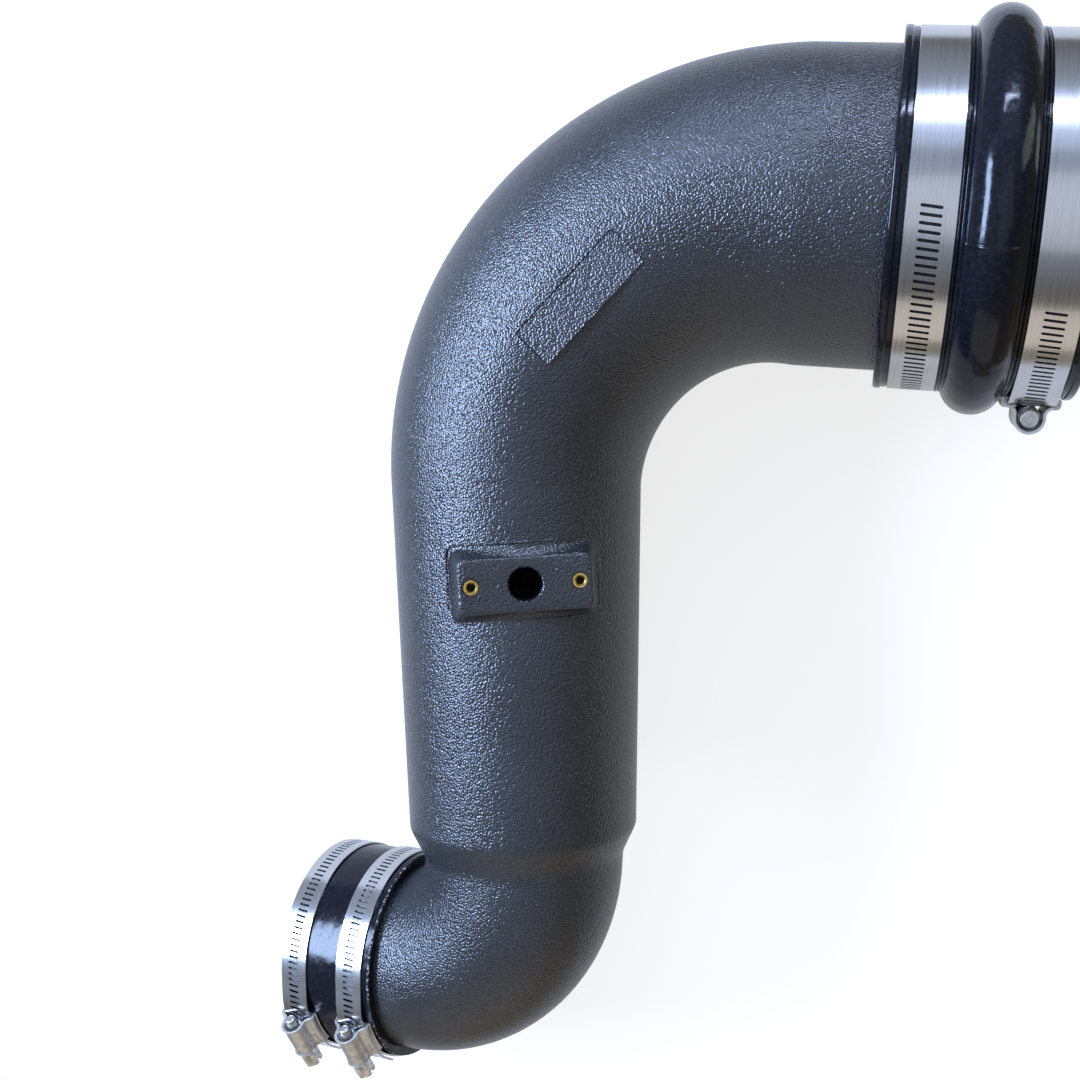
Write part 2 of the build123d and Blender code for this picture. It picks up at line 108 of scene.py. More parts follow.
plate_length = 38.0
plate_width = 12.6
plate_corner = 1.0
plate_rise = 0.05
plate_groove = 0.25
groove_depth = 0.7
plate_depth = 2.0
plate_pocket = 2.0
plate_bend_angle = 45.5
plate_section_angle = -9.5
plate_face_angle = -1.5

upper_hose_length = 53.4
upper_bore = 44.5
upper_cuff = 48.5
upper_lip = 49.3
upper_rim_lip = 3.7
upper_channel = 13.3
upper_hump_lip = 1.6
upper_crest = 55.1
hump_wall = 4.0
lip_groove = 0.45
lip_bead = 2.0
seam_angle = 16.9
seam_rise = 0.22
seam_half = 0.5
lower_hose_length = 31.4
lower_hose_radius = 31.425
lower_seat_bore = 28.625
lower_free_bore = 28.325
lower_seat_depth = 13.3
lower_inner_gap = 2.3
lower_outer_gap = 0.3
lower_corner = 0.5
cut_edge = 0.6

fit = 0.03
run_fit = 0.08
collar_gap = 0.15
lap_margin = 1.0
lap_rise = 20.0
slot_slant = -5.5
driver_slot_width = 1.1
driver_slot_depth = 1.6
strip_edge = 0.14
weld = 1e-4
square = ((-1, -1), (1, -1), (1, 1), (-1, 1))

upper_clamp = SimpleNamespace(
    seat_on=upper_cuff, floor_on=upper_lip, band_width=12.7, band=0.65, pitch=2.18,
    slot_length=5.6, slot_width=0.85, tail_wrap=14.0, tail_tip=5.0, tail_corner=4.8, length=14.0,
    wall=0.8, saddle=0.7, screw=3.1, tip=2.5, tip_length=1.0, tip_round=0.3, collar=3.5,
    collar_length=1.2, flats=6.35, hex_length=5.5)
lower_clamp = SimpleNamespace(
    seat_on=lower_hose_radius, floor_on=lower_hose_radius, band_width=9.0, band=0.6,
    pitch=1.8, slot_length=3.5, slot_width=0.7, tail_wrap=20.0, tail_tip=3.5, tail_corner=3.4,
    length=12.0, wall=0.7, saddle=0.6, screw=2.5, tip=1.6, tip_length=2.4, tip_round=1.3, collar=2.95,
    collar_length=1.1, flats=5.5, hex_length=5.6)

# Places along the centreline
bend_centre = Vector((upper_bend_radius, 0, 0))
leg_down = Vector((0, -1, 0))
swing = radians(lower_bend_swing)
lower_side = Vector((-cos(swing), 0, -sin(swing)))
leg_run = leg_length + neck_drop + neck_straight
upper_turn = radians(upper_bend_angle)
lower_turn = radians(lower_bend_angle)


def frame_of(x, y, z, origin):
    """Placing matrix from three axes and an origin."""
    return Matrix.Translation(origin) @ Matrix((x, y, z)).transposed().to_4x4()


def bend_point(angle):
    """Point of the upper bend's centreline, by angle from the leg."""
    turn = radians(angle)
    return bend_centre + Vector((-cos(turn), sin(turn), 0)) * upper_bend_radius


arm = Vector((sin(upper_turn), cos(upper_turn), 0))
upper_rim = bend_point(upper_bend_angle) + arm * (large_run - hose_on_large)
tail = leg_down * cos(lower_turn) + lower_side * sin(lower_turn)
lower_rim = (leg_down * (leg_run + lower_bend_radius * sin(lower_turn))
             + lower_side * (lower_bend_radius * (1 - cos(lower_turn))))

# The pipe lies on the floor as the solids do: the hose's mouth fixes the place
lie = Matrix.Rotation(radians(rest_roll), 4, "Y") @ Matrix.Rotation(radians(rest_pitch), 4, "X")
mouth = next(mount for mount in frame["record"]["mounts"] if mount["name"] == "upper_hose_mouth")
mouth_middle = upper_rim + arm * (upper_hose_length - (upper_rim_lip + upper_channel) / 2)
mouth_shift = Vector(mouth["pos_m"]) - lie @ mouth_middle * MM
to_row = Matrix.Translation(mouth_shift) @ lie @ Matrix.Scale(MM, 4)


def colour(code):
    """sRGB hex as a linear colour."""
    channels = [int(code[at:at + 2], 16) / 255 for at in (1, 3, 5)]
    return [c / 12.92 if c <= 0.04045 else ((c + 0.055) / 1.055) ** 2.4 for c in channels] + [1.0]


def plug(tree, made, inputs):
    """Fills a node's inputs, by number or name: a socket is linked, anything else is set."""
    for key, value in inputs.items():
        if isinstance(value, bpy.types.NodeSocket):
            tree.links.new(value, made.inputs[key])
        else:
            made.inputs[key].default_value = value


def node(tree, kind, *values, out=0, stops=(), **settings):
    """Adds a node with its settings and links. Gives back one of its outputs, or the node if out is None.
    The kind leaves out its family and may end in an operation. Values fill the inputs in turn, a dictionary
    fills them by number or name, and stops are the (place, hex) pairs of a colour ramp."""
    kind, _, operation = kind.partition(".")
    family = next(word for word in ("GeometryNode", "ShaderNode", "Node") if hasattr(bpy.types, word + kind))
    made = tree.nodes.new(family + kind)
    if operation:
        made.operation = operation
    for name, value in settings.items():
        setattr(made, name, value)
    for at, value in enumerate(values):
        plug(tree, made, value if isinstance(value, dict) else {at: value})
    if stops:
        elements = made.color_ramp.elements
        while len(elements) < len(stops):
            elements.new(0.5)
        for element, (place, code) in zip(elements, stops):
            element.position = place
            element.color = colour(code)
    return made if out is None else made.outputs[out]


def finish_material(build):
    """Material named after its builder, which adds the nodes and gives the shader's inputs."""
    made = bpy.data.materials.new(build.__name__)
    made.use_nodes = True
    tree = made.node_tree
    plug(tree, tree.nodes["Principled BSDF"], build(partial(node, tree)))
    return made


def at_size(place, size, **more):
    """Inputs of a texture, laid out in metres, for features of a size in millimetres."""
    return {"Vector": place, "Scale": 1 / (size * MM), **more}


def moulded_polyethylene(add):
    """Rotationally moulded black polyethylene: a pebbled skin about 0.6 mm a grain that breaks the light
    into sparkles, satin, with soft cloudy shine and a few pale specks."""
    place = add("TexCoord", out="Object")
    pebble = add("TexVoronoi", at_size(place, 0.62, Smoothness=0.2), feature="SMOOTH_F1")
    pebble = add("Math.POWER", pebble, 2.0)
    fine = add("TexNoise", at_size(place, 0.4, Detail=2.0))
    cloud = add("TexNoise", at_size(place, 26, Detail=3.0))
    height = add("Mix", {0: 0.2, 2: pebble, 3: fine})
    bump = add("Bump", {"Height": height, "Strength": 1.0, "Distance": 0.25 * MM}, invert=True)
    speck = add("TexVoronoi", at_size(place, 7.5))
    speck = add("MapRange", speck, 0.02, 0.035, 1.0, 0.0)
    tone = add("ValToRGB", cloud, stops=[(0.3, "#1c1f22"), (0.7, "#24272b")])
    tone = add("Mix", {0: speck, 6: tone, 7: colour("#6d7277")}, data_type="RGBA", out=2)
    rough = add("MapRange", cloud, 0.3, 0.7, 0.24, 0.3)
    return {"Base Color": tone, "Roughness": rough, "IOR": 1.54, "Specular IOR Level": 0.75, "Normal": bump}


def gloss_silicone(add):
    """Black silicone hose, wrapped and cured: a deep gloss with a faint waviness and a bloom of dust."""
    place = add("TexCoord", out="Object")
    wave = add("TexNoise", at_size(place, 11, Detail=2.0))
    dust = add("TexNoise", at_size(place, 1.2, Detail=4.0))
    bump = add("Bump", {"Height": wave, "Strength": 0.5, "Distance": 0.9 * MM})
    tone = add("ValToRGB", dust, stops=[(0.45, "#0d0f15"), (0.75, "#171a22")])
    rough = add("MapRange", dust, 0.35, 0.75, 0.1, 0.24)
    return {"Base Color": tone, "Roughness": rough, "IOR": 1.43, "Specular IOR Level": 0.33, "Normal": bump}


def cut_silicone(add):
    """Trimmed corner of the hose: matt, with pale ends of its fabric ply as a dotted line."""
    place = add("TexCoord", out="Object")
    ply = add("TexNoise", at_size(place, 0.8, Detail=3.0))
    tone = add("ValToRGB", ply, stops=[(0.46, "#17181a"), (0.55, "#3d3f41"), (0.62, "#b9bab9")])
    bump = add("Bump", {"Height": ply, "Strength": 0.6, "Distance": 0.15 * MM})
    return {"Base Color": tone, "Roughness": 0.75, "Normal": bump}


def rolled_stainless(add):
    """Rolled stainless strip: bright, with hair lines along the strip and soft smears across it."""
    along = add("UVMap", uv_map="UVMap")
    lines = add("Mapping", {"Vector": along, "Scale": (0.02, 1.0, 1.0)})
    hair = add("TexNoise", at_size(lines, 0.35, Detail=3.0))
    smear = add("TexNoise", at_size(along, 14, Detail=2.0))
    tone = add("ValToRGB", hair, stops=[(0.3, "#bcbdbf"), (0.7, "#cbcccd")])
    rough = add("MapRange", add("Mix", {0: 0.4, 2: hair, 3: smear}), 0.3, 0.7, 0.16, 0.22)
    bump = add("Bump", {"Height": hair, "Strength": 0.06, "Distance": 0.03 * MM})
    return {"Base Color": tone, "Metallic": 1.0, "Roughness": rough, "Normal": bump}


def stamped_stainless(add):
    """Stamped stainless sheet: satin grey with a drawn, mottled skin and brighter rubs."""
    place = add("TexCoord", out="Object")
    mottle = add("TexNoise", at_size(place, 2.2, Detail=4.0))
    grit = add("TexNoise", at_size(place, 0.4, Detail=2.0))
    tone = add("ValToRGB", mottle, stops=[(0.35, "#c3c2bf"), (0.65, "#dad9d6")])
    rough = add("MapRange", mottle, 0.3, 0.7, 0.5, 0.4)
    bump = add("Bump", {"Height": grit, "Strength": 0.2, "Distance": 0.05 * MM})
    return {"Base Color": tone, "Metallic": 1.0, "Roughness": rough, "Normal": bump}


def plated_steel(add):
    """Zinc-plated screw steel: a little duller and warmer than the strip, with a cloudy skin."""
    place = add("TexCoord", out="Object")
    cloud = add("TexNoise", at_size(place, 1.6, Detail=4.0))
    tone = add("ValToRGB", cloud, stops=[(0.35, "#b0afab"), (0.65, "#cfcdc9")])
    rough = add("MapRange", cloud, 0.3, 0.7, 0.42, 0.28)
    bump = add("Bump", {"Height": cloud, "Strength": 0.15, "Distance": 0.05 * MM})
    return {"Base Color": tone, "Metallic": 1.0, "Roughness": rough, "Normal": bump}


def turned_brass(add):
    """Turned brass insert: warm gold, lightly tarnished."""
    place = add("TexCoord", out="Object")
    tarnish = add("TexNoise", at_size(place, 0.9, Detail=3.0))
    tone = add("ValToRGB", tarnish, stops=[(0.35, "#b39448"), (0.65, "#e2c87c")])
    rough = add("MapRange", tarnish, 0.3, 0.7, 0.36, 0.2)
    return {"Base Color": tone, "Metallic": 1.0, "Roughness": rough}


duct_skin = finish_material(moulded_polyethylene)
hose_skin = finish_material(gloss_silicone)
hose_edge = finish_material(cut_silicone)
strip_steel = finish_material(rolled_stainless)
sheet_steel = finish_material(stamped_stainless)
screw_steel = finish_material(plated_steel)
brass = finish_material(turned_brass)


def new_tree(name, **sockets):
    """Geometry Nodes tree with inputs named by kind; gives the tree, its node adder and the inputs."""
    tree = bpy.data.node_groups.new(name, "GeometryNodeTree")
    kinds = {socket: kind for kind, names in sockets.items() for socket in names.split()}
    for socket, kind in kinds.items():
        tree.interface.new_socket(socket, in_out="INPUT", socket_type="NodeSocket" + kind)
    tree.interface.new_socket("Geometry", in_out="OUTPUT", socket_type="NodeSocketGeometry")
    given = node(tree, "GroupInput", out=None).outputs
    return tree, partial(node, tree), SimpleNamespace(**{socket: given[socket] for socket in kinds})


def end_tree(add, geometry, material):
    """Closes a tree: instances made real, material set."""
    real = add("RealizeInstances", geometry)
    add("GroupOutput", add("SetMaterial", {0: real, "Material": material}), out=None)


def put(name, data):
    """Object of a mesh, lamp or camera, linked into the scene."""
    made = bpy.data.objects.new(name, data)
    bpy.context.scene.collection.objects.link(made)
    return made


def temporary(shape):
    """Short-lived object from a bmesh."""
    mesh = bpy.data.meshes.new("temporary")
    shape.to_mesh(mesh)
    shape.free()
    return put("temporary", mesh)


def settled(made):
    """Result of a short-lived object's modifiers as a bmesh; the object goes."""
    bpy.context.view_layer.update()
    mesh = bpy.data.meshes.new_from_object(made.evaluated_get(bpy.context.evaluated_depsgraph_get()))
    shape = bmesh.new()
    shape.from_mesh(mesh)
    bpy.data.objects.remove(made)
    bpy.data.meshes.remove(mesh)
    return shape


def grow(tree, **values):
    """Runs a Geometry Nodes tree and gives back its result as a bmesh."""
    holder = temporary(bmesh.new())
    modifier = holder.modifiers.new("grow", "NODES")
    modifier.node_group = tree
    for item in tree.interface.items_tree:
        if item.in_out == "INPUT":
            modifier[item.identifier] = values[item.name]
    return settled(holder)


def carve(shape, steps):
    """Joins or cuts closed shapes in turn: steps are (operation, shape)."""
    body = temporary(shape)
    tools = []
    for operation, tool in steps:
        tools.append(temporary(tool))
        modifier = body.modifiers.new("carve", "BOOLEAN")
        modifier.operation = operation
        modifier.solver = "EXACT"
        modifier.object = tools[-1]
    result = settled(body)
    for tool in tools:
        bpy.data.objects.remove(tool)
    return result


def set_in(shape, place):
    """Shape with its faces turned outwards, moved into a place."""
    bmesh.ops.recalc_face_normals(shape, faces=shape.faces)
    bmesh.ops.transform(shape, matrix=place, verts=shape.verts)
    return shape


def place_piece(name, shape, place, materials, body, nodes, sharp=38.0):
    """Turns a bmesh in millimetres into a finished piece on its body."""
    bmesh.ops.transform(shape, matrix=to_row @ place, verts=shape.verts)
    bmesh.ops.recalc_face_normals(shape, faces=shape.faces)
    mesh = bpy.data.meshes.new(name)
    shape.to_mesh(mesh)
    shape.free()
    for material in materials:
        mesh.materials.append(material)
    mesh.shade_smooth()
    mesh.set_sharp_from_angle(angle=radians(sharp))
    made = put(name, mesh)
    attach(made, body)
    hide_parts(*nodes)


def skin_over(shape, loops, cap_first=False, cap_last=False):
    """Faces between neighbouring loops of vertices, each loop closed on itself."""
    rows = [[shape.verts.new(point) for point in loop] for loop in loops]
    for low, high in zip(rows, rows[1:]):
        for at in range(len(low)):
            after = (at + 1) % len(low)
            shape.faces.new((low[at], low[after], high[after], high[at]))
    if cap_first:
        shape.faces.new(rows[0][::-1])
    if cap_last:
        shape.faces.new(rows[-1])
    return rows


def turned(outline, steps=128, swell=None, extra_turns=()):
    """Lathe: a closed outline of (radius, along) turned round Z; swell adds to the radius."""
    shape = bmesh.new()
    turns = sorted([2 * pi * step / steps for step in range(steps)] + list(extra_turns))
    loops = []
    for turn in turns:
        ring = []
        for radius, along in outline:
            reach = radius + (swell(turn, radius, along) if swell else 0)
            ring.append(Vector((reach * cos(turn), reach * sin(turn), along)))
        loops.append(ring)
    rows = skin_over(shape, loops)
    for at in range(len(outline)):
        after = (at + 1) % len(outline)
        shape.faces.new((rows[-1][at], rows[-1][after], rows[0][after], rows[0][at]))
    bmesh.ops.remove_doubles(shape, verts=shape.verts, dist=weld)
    return shape


def eased(corners, steps=4):
    """Closed outline whose corners (across, along, ease) are rounded over a length."""
    nearly_half = 0.48
    outline = []
    for index, (across, along, ease) in enumerate(corners):
        corner = Vector((across, along))
        before = Vector(corners[index - 1][:2]) - corner
        after = Vector(corners[(index + 1) % len(corners)][:2]) - corner
        start, end = (corner + side.normalized() * min(ease, side.length * nearly_half)
                      for side in (before, after))
        count = steps if ease else 0
        for step in range(count + 1):
            share = step / max(count, 1)
            pull = corner * (2 * share * (1 - share))
            outline.append(start * (1 - share) ** 2 + pull + end * share ** 2)
    return outline


def rounded_outline(width, height, corner, per_corner=6, per_side=10):
    """Rounded rectangle, anticlockwise, with points along its sides too."""
    points = []
    for number, (sx, sy) in enumerate(((1, 1), (-1, 1), (-1, -1), (1, -1))):
        middle = Vector((sx * (width / 2 - corner), sy * (height / 2 - corner)))
        for step in range(per_corner + 1):
            turn = (number + step / per_corner) * pi / 2
            points.append(middle + Vector((cos(turn), sin(turn))) * corner)
    filled = []
    for point, after in zip(points, points[1:] + points[:1]):
        filled.append(point)
        if (after - point).length > 2 * corner:
            filled += [point.lerp(after, step / per_side) for step in range(1, per_side)]
    return filled


def quarter(steps):
    """Angles over a quarter turn."""
    return [pi / 2 * step / steps for step in range(steps + 1)]


def front_of(axis):
    """Direction across an axis that faces the pad's side."""
    return (Vector((0, 0, 1)) - axis * axis.z).normalized()


# Duct: one tapering skin that follows the centreline's rule, outside and inside

def duct_tree():
    tree, add, given = new_tree("duct_skin", Vector="lower_side", Int="points sides", Float=(
        "large_run bend_radius bend_angle leg lower_radius lower_angle spigot large_end leg_top leg_foot "
        "leg_taper neck neck_drop small_end shoulder root wall"))
    bend_end = add("Math.MULTIPLY_ADD", given.bend_radius, given.bend_angle, given.large_run)
    leg_end = add("Math.ADD", bend_end, given.leg)
    elbow_end = add("Math.MULTIPLY_ADD", given.lower_radius, given.lower_angle, leg_end)
    whole = add("Math.ADD", elbow_end, given.spigot)
    way = add("Math.MULTIPLY", add("SplineParameter", out="Factor"), whole)
    turn = add("MapRange", way, given.large_run, bend_end, given.bend_angle, 0.0)
    lower = add("MapRange", way, leg_end, elbow_end, 0.0, given.lower_angle)
    out = add("MapRange", way, 0.0, given.large_run, given.large_run, 0.0)
    down = add("MapRange", way, bend_end, leg_end, 0.0, given.leg)
    past = add("MapRange", way, elbow_end, whole, 0.0, given.spigot)
    arm_way = add("CombineXYZ", add("Math.SINE", given.bend_angle), add("Math.COSINE", given.bend_angle))
    bend = add("CombineXYZ", add("Math.SUBTRACT", 1.0, add("Math.COSINE", turn)), add("Math.SINE", turn))
    drop = add("Math.MULTIPLY_ADD", given.lower_radius, add("Math.SINE", lower), down)
    drop = add("Math.MULTIPLY_ADD", past, add("Math.COSINE", given.lower_angle), drop)
    side = add("Math.SUBTRACT", 1.0, add("Math.COSINE", lower))
    side = add("Math.MULTIPLY", given.lower_radius, side)
    side = add("Math.MULTIPLY_ADD", past, add("Math.SINE", given.lower_angle), side)
    path = add("VectorMath.SCALE", bend, {"Scale": given.bend_radius})
    for more in (add("VectorMath.SCALE", arm_way, {"Scale": out}),
                 add("CombineXYZ", 0.0, add("Math.MULTIPLY", drop, -1.0)),
                 add("VectorMath.SCALE", given.lower_side, {"Scale": side})):
        path = add("VectorMath.ADD", path, more)

    taper_end = add("Math.ADD", bend_end, given.leg_taper)
    neck_at = add("Math.ADD", taper_end, given.neck_drop)
    taper = add("MapRange", way, given.large_run, bend_end, given.large_end, given.leg_top)
    loss = add("MapRange", way, bend_end, taper_end, 0.0, add("Math.SUBTRACT", given.leg_top, given.leg_foot))
    cone = add("MapRange", way, taper_end, neck_at, given.leg_foot, given.neck, clamp=False)
    neck = add("MapRange", way, leg_end, elbow_end, given.neck, given.small_end)
    leg = add("Math.SMOOTH_MIN", add("Math.SUBTRACT", taper, loss), cone, given.shoulder)
    radius = add("Math.SMOOTH_MAX", leg, neck, given.root)
    index = add("InputIndex")
    last = add("Math.SUBTRACT", given.points, 1.0)
    edge = add("Math.MAXIMUM", add("Math.COMPARE", index, 0.0, 0.5), add("Math.COMPARE", index, last, 0.5))
    line = add("CurvePrimitiveLine", {"End": (0.0, -1.0, 0.0)})
    line = add("ResampleCurve", {0: line, "Count": given.points})
    line = add("SetPosition", {0: line, "Position": path})
    ring = add("CurvePrimitiveCircle", {"Resolution": given.sides, "Radius": 1.0})
    rim_inset = add("Math.MULTIPLY", add("Math.MULTIPLY", given.wall, 0.5), edge)
    skins = add("JoinGeometry", out=None)
    for inset in (rim_inset, add("Math.SUBTRACT", given.wall, rim_inset)):
        skin = add("CurveToMesh", line, ring, {"Scale": add("Math.SUBTRACT", radius, inset)})
        tree.links.new(skin, skins.inputs[0])
    end_tree(add, add("MergeByDistance", {0: skins.outputs[0], "Distance": 0.01}), duct_skin)
    return tree


def pad_place():
    """Frame of the sensor pad's face: X along it, Z outwards."""
    turn = radians(pad_swing)
    outwards = Vector((sin(turn), 0, cos(turn)))
    along = Vector((cos(turn), 0, -sin(turn)))
    leg_radius = leg_top_radius + (leg_foot_radius - leg_top_radius) * pad_drop / leg_length
    origin = leg_down * pad_drop + outwards * (leg_radius + pad_rise)
    upright = outwards.cross(along)
    turned_on = Matrix.Rotation(radians(pad_turn), 4, "Z")
    return frame_of(along, upright, outwards, origin) @ turned_on, leg_radius


pad_frame, pad_leg_radius = pad_place()


def leg_skin(x, y):
    """Height of the leg's skin under a point of the pad's plane, from the pad's face."""
    turn = radians(pad_turn)
    across = x * cos(turn) - y * sin(turn)
    up = x * sin(turn) + y * cos(turn)
    radius = pad_leg_radius + up * (leg_top_radius - leg_foot_radius) / leg_length
    return sqrt(max(radius ** 2 - across ** 2, 1.0)) - pad_leg_radius - pad_rise


def pad_block():
    """Closed block: rounded rim, drafted sides and a soft root that spreads on the leg's skin."""
    shape = bmesh.new()
    face = rounded_outline(pad_width, pad_height, pad_corner)

    def widened(point, share, spread=0.0):
        x = point.x * (1 + 2 * (pad_side_foot * share + spread) / pad_width)
        y = point.y * (1 + 2 * (pad_end_foot * share + spread) / pad_height)
        return x, y

    loops = []
    for turn in quarter(4):
        inset = pad_rim_round * (1 - sin(turn))
        drop = pad_rim_round * (1 - cos(turn))
        loops.append([Vector((*widened(p, 0, -inset), -drop)) for p in face])
    for share, above, spread in pad_walls:
        loop = []
        for point in face:
            x, y = widened(point, share, spread)
            foot = leg_skin(x, y)
            loop.append(Vector((x, y, foot + max(above, 0) * (-pad_rim_round - foot) + min(above, 0))))
        loops.append(loop)
    rows = skin_over(shape, loops, cap_first=True)
    centre = shape.verts.new((0, 0, leg_skin(0, 0) - pad_base))
    for at, vert in enumerate(rows[-1]):
        shape.faces.new((vert, rows[-1][(at + 1) % len(rows[-1])], centre))
    return set_in(shape, pad_frame)


def prism(outline, low, high, place):
    """Closed straight block over an outline."""
    shape = bmesh.new()
    loops = [[Vector((*p, z)) for p in outline] for z in (low, high)]
    skin_over(shape, loops, cap_first=True, cap_last=True)
    return set_in(shape, place)


def plate_place():
    """Frame of the bare plate's face on the bend's flank."""
    turn = radians(plate_bend_angle)
    onward = Vector((sin(turn), cos(turn), 0))
    away = (bend_point(plate_bend_angle) - bend_centre).normalized()

    def leaning(angle):
        return Vector((0, 0, 1)) * cos(radians(angle)) + away * sin(radians(angle))

    slope = atan((large_radius - leg_top_radius) / (upper_turn * upper_bend_radius))
    facing = leaning(plate_face_angle)
    normal = facing * cos(slope) - onward * sin(slope)
    along = onward * cos(slope) + facing * sin(slope)
    radius = leg_top_radius + (large_radius - leg_top_radius) * plate_bend_angle / upper_bend_angle
    origin = bend_point(plate_bend_angle) + leaning(plate_section_angle) * (radius + plate_rise)
    return frame_of(along, normal.cross(along), normal, origin)


def make_duct():
    skin = grow(
        duct_tree(), large_run=large_run, bend_radius=upper_bend_radius, bend_angle=upper_turn, leg=leg_run,
        lower_radius=lower_bend_radius, lower_angle=lower_turn, spigot=small_spigot, large_end=large_radius,
        leg_top=leg_top_radius, leg_foot=leg_foot_radius, leg_taper=leg_length, neck=neck_radius,
        neck_drop=neck_drop, small_end=small_radius, shoulder=shoulder_round, root=neck_root_round,
        wall=duct_wall, lower_side=lower_side[:], points=duct_rings, sides=duct_sides)
    bmesh.ops.recalc_face_normals(skin, faces=skin.faces)
    plate_frame = plate_place()
    pocket = rounded_outline(plate_length, plate_width, plate_corner)
    plate = rounded_outline(plate_length - 2 * plate_groove, plate_width - 2 * plate_groove, plate_corner)
    steps = [("UNION", pad_block()), ("DIFFERENCE", prism(pocket, -groove_depth, plate_pocket, plate_frame)),
             ("UNION", prism(plate, -plate_depth, 0, plate_frame))]
    rim, deep = bore_radius + bore_break, 2 * (pad_rise + duct_wall)
    bore = [(0, drill_clear), (rim, drill_clear), (rim, 0), (bore_radius, -bore_break), (bore_radius, -deep),
            (0, -deep)]
    sleeve, low = insert_radius + fit, -recess_depth - insert_length
    hole = [(0, drill_clear), (recess_radius, drill_clear), (recess_radius, -recess_depth),
            (sleeve, -recess_depth), (sleeve, low), (0, low)]
    for outline, x in ((bore, 0.0), (hole, insert_spacing / 2), (hole, -insert_spacing / 2)):
        drill = set_in(turned(outline, 48), pad_frame @ Matrix.Translation((x, 0, 0)))
        steps.append(("DIFFERENCE", drill))
    nodes = [name for name in frame["nodes"] if name.startswith("intake_tube")]
    place_piece("intake_tube", carve(skin, steps), Matrix(), [duct_skin], "duct", nodes)


# Parting line of the pad's mould block, a thin bead on the leg's skin

def parting_tree():
    tree, add, given = new_tree("pad_parting_line", Vector="middle", Float=(
        "width height corner leg_radius taper rise bead sink"))
    line = add("CurvePrimitiveQuadrilateral", {"Width": given.width, "Height": given.height})
    line = add("FilletCurve", {0: line, "Count": 8, "Radius": given.corner}, mode="POLY")
    line = add("ResampleCurve", {0: line, "Count": 240})
    spot = add("VectorMath.ADD", add("InputPosition"), given.middle)
    apart = add("SeparateXYZ", spot, out=None).outputs
    skin = add("Math.MULTIPLY_ADD", apart["Y"], given.taper, given.leg_radius)
    reach = add("Math.SUBTRACT", add("Math.POWER", skin, 2.0), add("Math.POWER", apart["X"], 2.0))
    depth = add("Math.ADD", add("Math.ADD", given.leg_radius, given.rise), given.sink)
    lift = add("Math.SUBTRACT", add("Math.SQRT", reach), depth)
    line = add("SetPosition", {0: line, "Position": add("CombineXYZ", apart["X"], apart["Y"], lift)})
    ring = add("CurvePrimitiveCircle", {"Resolution": 8, "Radius": given.bead})
    end_tree(add, add("CurveToMesh", line, ring), duct_skin)
    return tree


def make_parting_line():
    bead = grow(
        parting_tree(), width=parting_width, height=parting_height, corner=parting_corner,
        leg_radius=pad_leg_radius, taper=(leg_top_radius - leg_foot_radius) / leg_length,
        middle=parting_middle, rise=pad_rise, bead=parting_bead, sink=parting_sink)
    place_piece("pad_parting_line", bead, pad_frame, [duct_skin], "duct", [])


# Hoses

def arched(crest, foot, rise, steps):
    """Points (radius, along, ease) of an arc over the hump, from the far foot to the near one."""
    arc = (foot ** 2 + rise ** 2) / (2 * rise)
    wide = asin(foot / arc)
    turns = [wide * (1 - 2 * step / steps) for step in range(steps + 1)]
    return [((crest - arc) + arc * cos(turn), arc * sin(turn), 0.0) for turn in turns]


def make_upper_hose():
    half = upper_hose_length / 2
    foot = half - upper_rim_lip - upper_channel - upper_hump_lip
    lip_in = half - upper_rim_lip
    channel_in = lip_in - upper_channel
    crease = channel_in - upper_hump_lip / 2
    low = upper_lip - lip_groove
    top = [(upper_bore, half, 0.3), (upper_lip, half, 1.0), (upper_lip, half - lip_bead, 0.5),
           (low, half - lip_bead - 0.3, 0.2), (low, lip_in, 0.15), (upper_cuff, lip_in, 0.1),
           (upper_cuff, channel_in, 0.1), (upper_lip, channel_in, 0.3), (upper_lip, crease + 0.2, 0.25),
           (low, crease, 0.15), (upper_lip - 0.1, crease - 0.25, 0.25)]
    bottom = [(radius, -along, ease) for radius, along, ease in reversed(top)]
    crown = arched(upper_crest, foot, upper_crest - upper_lip, 24)
    inner_crest = upper_crest - hump_wall
    hollow = arched(inner_crest, foot + upper_hump_lip, inner_crest - upper_bore, 12)[::-1]
    outline = eased(top + crown + bottom + hollow, steps=3)
    front = front_of(arm)
    place = frame_of(front.cross(arm) * -1, front, arm, upper_rim + arm * half)
    seam_turn = pi / 2 - radians(seam_angle)

    def seam(turn, radius, along):
        if radius <= upper_lip or abs(along) >= foot:
            return 0.0
        return seam_rise * max(0.0, 1 - ((turn - seam_turn) * radius / seam_half) ** 2)

    fine = [seam_turn + radians(step * 0.12) for step in range(-6, 7)]
    shape = turned(outline, 160, seam, fine)
    place_piece("upper_hump_hose_dressed", shape, place, [hose_skin], "duct",
                ["upper_hump_hose"], 45)


def make_lower_hose():
    corners = [
        (lower_seat_bore, 0, 0.2), (lower_hose_radius, 0, lower_corner),
        (lower_hose_radius, lower_hose_length, lower_corner), (lower_free_bore, lower_hose_length, 0.2),
        (lower_free_bore, lower_seat_depth, 0.0), (lower_seat_bore, lower_seat_depth - 0.5, 0.0)]
    front = front_of(tail)
    place = frame_of(front, tail.cross(front), tail, lower_rim)
    shape = turned(eased(corners), 128)
    shape.normal_update()
    for face in shape.faces:
        outer = face.calc_center_median().xy.length > lower_hose_radius - cut_edge
        if outer and 0.1 < abs(face.normal.z) < 0.99:
            face.material_index = 1
    place_piece("lower_hose_dressed", shape, place, [hose_skin, hose_edge], "duct",
                ["lower_hose"], 45)


# Clamps

